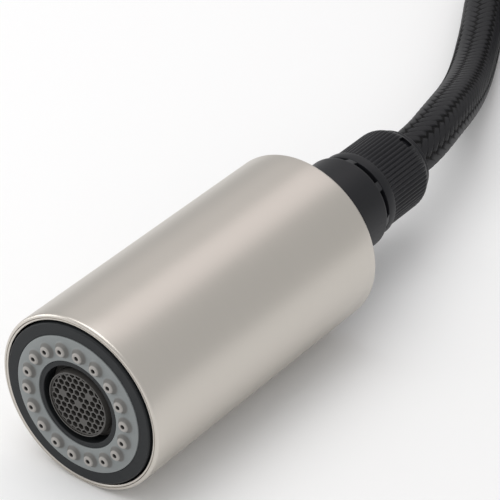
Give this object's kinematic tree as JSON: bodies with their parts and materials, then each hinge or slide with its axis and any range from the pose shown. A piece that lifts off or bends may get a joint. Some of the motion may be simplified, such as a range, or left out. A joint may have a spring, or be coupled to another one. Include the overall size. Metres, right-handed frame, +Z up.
{
  "type": "kitchen faucet spray head",
  "caption": "Cylindrical pull-down kitchen faucet spray head with a turning two-mode face, docking neck, ribbed hose nut and braided hose.",
  "frame": {"origin": "on the surface that the head lies on, under the middle of the head without its hose", "axes": "+Y along the head from the spray face to the hose, +Z up, +X to the right seen from the face looking along +Y"},
  "size_m": [0.1843, 0.4418, 0.05],
  "materials": {
    "brushed_nickel": "brushed along the length, satin",
    "black_plastic": "fine moulded satin",
    "body_plastic": "moulded, glass filled",
    "grey_silicone": "soft matt",
    "black_rubber": "matt",
    "aerator_plastic": "moulded satin",
    "white_plastic": "moulded acetal",
    "brass": "machined",
    "stainless": "satin",
    "spring_steel": "drawn wire",
    "braided_nylon": "braided nylon over a rubber tube",
    "strap_fabric": "hook-and-loop strap"
  },
  "bodies": {
    "hose": {"supply_hose": "braided_nylon", "hose_coil": "braided_nylon", "hose_tail": "braided_nylon", "coil_tie": "strap_fabric", "swivel_nipple": "brass", "head_ferrule": "stainless", "end_ferrule": "stainless", "end_nipple": "brass"},
    "spray_head": {"sleeve": "brushed_nickel", "inner_body": "body_plastic", "shoulder_gasket": "black_rubber", "docking_neck": "black_plastic", "pivot_screw": "stainless", "port_seal": "black_rubber", "port_spring": "spring_steel", "valve_body": "white_plastic", "valve_spring": "spring_steel", "valve_seal": "black_rubber", "inlet_washer": "black_rubber", "inlet_screen": "stainless", "swivel_nut": "black_plastic", "nut_lip": "black_plastic"},
    "spray_face": {"face_ring": "black_plastic", "nozzle_mat": "grey_silicone", "selector_disc": "body_plastic", "face_seal": "black_rubber", "aerator_housing": "aerator_plastic", "aerator_honeycomb": "aerator_plastic", "aerator_diffuser": "white_plastic", "flow_regulator": "white_plastic", "aerator_gasket": "black_rubber"},
    "check_poppet": {"valve_poppet": "white_plastic"},
    "hose_union": {"union_nut": "brass", "end_gasket": "black_rubber"}
  },
  "joints": [
    {"name": "head_swivel", "type": "hinge", "parent": "hose", "child": "spray_head", "pos_m": [0, 0.0598, 0.025], "axis": [0, 1, 0], "continuous": true},
    {"name": "face_turn", "type": "hinge", "parent": "spray_head", "child": "spray_face", "pos_m": [0, -0.0542, 0.025], "axis": [0, 1, 0], "range_deg": [0, 90]},
    {"name": "valve_lift", "type": "slide", "parent": "spray_head", "child": "check_poppet", "axis": [0, -1, 0], "range_m": [0, 0.0025], "stiffness_N_per_m": 120, "springref_m": -0.002, "deforming": ["valve_spring"]},
    {"name": "union_turn", "type": "hinge", "parent": "hose", "child": "hose_union", "pos_m": [0.09487, 0.24798, 0.02636], "axis": [0.0202, -0.9997, 0.0115], "continuous": true}
  ]
}
